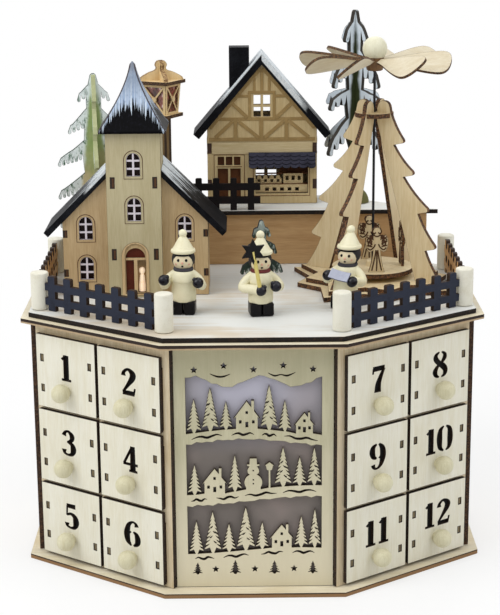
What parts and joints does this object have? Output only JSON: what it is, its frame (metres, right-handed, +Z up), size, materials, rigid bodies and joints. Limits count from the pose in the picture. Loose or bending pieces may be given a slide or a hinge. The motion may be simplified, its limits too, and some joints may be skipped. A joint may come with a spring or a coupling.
{
  "type": "advent calendar",
  "caption": "Wooden advent calendar: a many-sided chest with numbered drawers, and on its deck a winter village with a turning pyramid.",
  "frame": {"origin": "centre of the base plate, on its underside", "axes": "+Z up, the front panel looks along -Y, +X to the right as seen from the front"},
  "size_m": [0.301, 0.2572, 0.35],
  "materials": {
    "birch_ply": "pale plywood with dark scorched edges",
    "drawer_ply": "cream washed plywood, matt",
    "snow_paint": "matt white paint, thin in places",
    "backing_sheet": "translucent mauve grey sheet",
    "black_plastic": "moulded, fine grain",
    "brown_ply": "tan stained plywood",
    "slate_paint": "matt slate blue paint, posts cream",
    "black_paint": "matt black paint",
    "house_ply": "plywood with engraved timber framing",
    "roof_paint": "blue black paint with white snow",
    "church_ply": "pale plywood with scorched window edges",
    "spire_paint": "blue black paint with icicles",
    "lantern_ply": "plywood with copper coloured panes",
    "fir_paint": "green paint with snow on the boughs",
    "pyramid_ply": "plywood with scorched edges",
    "wheel_ply": "bare pale wood",
    "black_steel": "black wire",
    "figure_paint": "satin cream paint with black details"
  },
  "bodies": {
    "chest": {"base_plate": "birch_ply", "shelf_lower": "birch_ply", "shelf_upper": "birch_ply", "deck_lower": "birch_ply", "deck_upper": "snow_paint", "front_panel": "birch_ply", "light_diffuser": "backing_sheet", "back_panel": "birch_ply", "side_wall_left": "birch_ply", "side_wall_right": "birch_ply", "face_frame_front_left": "birch_ply", "face_frame_front_right": "birch_ply", "face_frame_back_right": "birch_ply", "face_frame_back_left": "birch_ply", "battery_box": "black_plastic", "terrace_wall": "brown_ply", "terrace_top": "snow_paint", "fence_left": "slate_paint", "fence_right": "slate_paint", "terrace_fence": "black_paint", "house_walls": "house_ply", "house_roof": "roof_paint", "church_walls": "church_ply", "church_roof": "roof_paint", "church_spire": "spire_paint", "lantern": "lantern_ply", "tree_left": "fir_paint", "tree_right": "fir_paint", "pyramid_stand": "pyramid_ply", "singer_left": "figure_paint", "singer_middle": "figure_paint", "singer_right": "figure_paint"},
    "drawer_01_body": {"drawer_01": "drawer_ply"},
    "drawer_02_body": {"drawer_02": "drawer_ply"},
    "drawer_03_body": {"drawer_03": "drawer_ply"},
    "drawer_04_body": {"drawer_04": "drawer_ply"},
    "drawer_05_body": {"drawer_05": "drawer_ply"},
    "drawer_06_body": {"drawer_06": "drawer_ply"},
    "drawer_07_body": {"drawer_07": "drawer_ply"},
    "drawer_08_body": {"drawer_08": "drawer_ply"},
    "drawer_09_body": {"drawer_09": "drawer_ply"},
    "drawer_10_body": {"drawer_10": "drawer_ply"},
    "drawer_11_body": {"drawer_11": "drawer_ply"},
    "drawer_12_body": {"drawer_12": "drawer_ply"},
    "drawer_13_body": {"drawer_13": "drawer_ply"},
    "drawer_14_body": {"drawer_14": "drawer_ply"},
    "drawer_15_body": {"drawer_15": "drawer_ply"},
    "drawer_16_body": {"drawer_16": "drawer_ply"},
    "drawer_17_body": {"drawer_17": "drawer_ply"},
    "drawer_18_body": {"drawer_18": "drawer_ply"},
    "drawer_19_body": {"drawer_19": "drawer_ply"},
    "drawer_20_body": {"drawer_20": "drawer_ply"},
    "drawer_21_body": {"drawer_21": "drawer_ply"},
    "drawer_22_body": {"drawer_22": "drawer_ply"},
    "drawer_23_body": {"drawer_23": "drawer_ply"},
    "drawer_24_body": {"drawer_24": "drawer_ply"},
    "switch": {"switch_slider": "black_plastic"},
    "carousel": {"pyramid_shaft": "black_steel", "turntable": "pyramid_ply", "pyramid_wheel": "wheel_ply"}
  },
  "joints": [
    {"name": "drawer_01_slide", "type": "slide", "parent": "chest", "child": "drawer_01_body", "axis": [-0.5878, -0.809, 0], "range_m": [0, 0.045]},
    {"name": "drawer_02_slide", "type": "slide", "parent": "chest", "child": "drawer_02_body", "axis": [-0.5878, -0.809, 0], "range_m": [0, 0.045]},
    {"name": "drawer_03_slide", "type": "slide", "parent": "chest", "child": "drawer_03_body", "axis": [-0.5878, -0.809, 0], "range_m": [0, 0.045]},
    {"name": "drawer_04_slide", "type": "slide", "parent": "chest", "child": "drawer_04_body", "axis": [-0.5878, -0.809, 0], "range_m": [0, 0.045]},
    {"name": "drawer_05_slide", "type": "slide", "parent": "chest", "child": "drawer_05_body", "axis": [-0.5878, -0.809, 0], "range_m": [0, 0.045]},
    {"name": "drawer_06_slide", "type": "slide", "parent": "chest", "child": "drawer_06_body", "axis": [-0.5878, -0.809, 0], "range_m": [0, 0.045]},
    {"name": "drawer_07_slide", "type": "slide", "parent": "chest", "child": "drawer_07_body", "axis": [0.5878, -0.809, 0], "range_m": [0, 0.045]},
    {"name": "drawer_08_slide", "type": "slide", "parent": "chest", "child": "drawer_08_body", "axis": [0.5878, -0.809, 0], "range_m": [0, 0.045]},
    {"name": "drawer_09_slide", "type": "slide", "parent": "chest", "child": "drawer_09_body", "axis": [0.5878, -0.809, 0], "range_m": [0, 0.045]},
    {"name": "drawer_10_slide", "type": "slide", "parent": "chest", "child": "drawer_10_body", "axis": [0.5878, -0.809, 0], "range_m": [0, 0.045]},
    {"name": "drawer_11_slide", "type": "slide", "parent": "chest", "child": "drawer_11_body", "axis": [0.5878, -0.809, 0], "range_m": [0, 0.045]},
    {"name": "drawer_12_slide", "type": "slide", "parent": "chest", "child": "drawer_12_body", "axis": [0.5878, -0.809, 0], "range_m": [0, 0.045]},
    {"name": "drawer_13_slide", "type": "slide", "parent": "chest", "child": "drawer_13_body", "axis": [0.5878, 0.809, 0], "range_m": [0, 0.045]},
    {"name": "drawer_14_slide", "type": "slide", "parent": "chest", "child": "drawer_14_body", "axis": [0.5878, 0.809, 0], "range_m": [0, 0.045]},
    {"name": "drawer_15_slide", "type": "slide", "parent": "chest", "child": "drawer_15_body", "axis": [0.5878, 0.809, 0], "range_m": [0, 0.045]},
    {"name": "drawer_16_slide", "type": "slide", "parent": "chest", "child": "drawer_16_body", "axis": [0.5878, 0.809, 0], "range_m": [0, 0.045]},
    {"name": "drawer_17_slide", "type": "slide", "parent": "chest", "child": "drawer_17_body", "axis": [0.5878, 0.809, 0], "range_m": [0, 0.045]},
    {"name": "drawer_18_slide", "type": "slide", "parent": "chest", "child": "drawer_18_body", "axis": [0.5878, 0.809, 0], "range_m": [0, 0.045]},
    {"name": "drawer_19_slide", "type": "slide", "parent": "chest", "child": "drawer_19_body", "axis": [-0.5878, 0.809, 0], "range_m": [0, 0.045]},
    {"name": "drawer_20_slide", "type": "slide", "parent": "chest", "child": "drawer_20_body", "axis": [-0.5878, 0.809, 0], "range_m": [0, 0.045]},
    {"name": "drawer_21_slide", "type": "slide", "parent": "chest", "child": "drawer_21_body", "axis": [-0.5878, 0.809, 0], "range_m": [0, 0.045]},
    {"name": "drawer_22_slide", "type": "slide", "parent": "chest", "child": "drawer_22_body", "axis": [-0.5878, 0.809, 0], "range_m": [0, 0.045]},
    {"name": "drawer_23_slide", "type": "slide", "parent": "chest", "child": "drawer_23_body", "axis": [-0.5878, 0.809, 0], "range_m": [0, 0.045]},
    {"name": "drawer_24_slide", "type": "slide", "parent": "chest", "child": "drawer_24_body", "axis": [-0.5878, 0.809, 0], "range_m": [0, 0.045]},
    {"name": "switch_slide", "type": "slide", "parent": "chest", "child": "switch", "axis": [1, 0, 0], "range_m": [0, 0.004]},
    {"name": "pyramid_spin", "type": "hinge", "parent": "chest", "child": "carousel", "pos_m": [0.0834, 0.0118, 0.18], "axis": [0, 0, 1], "continuous": true}
  ]
}
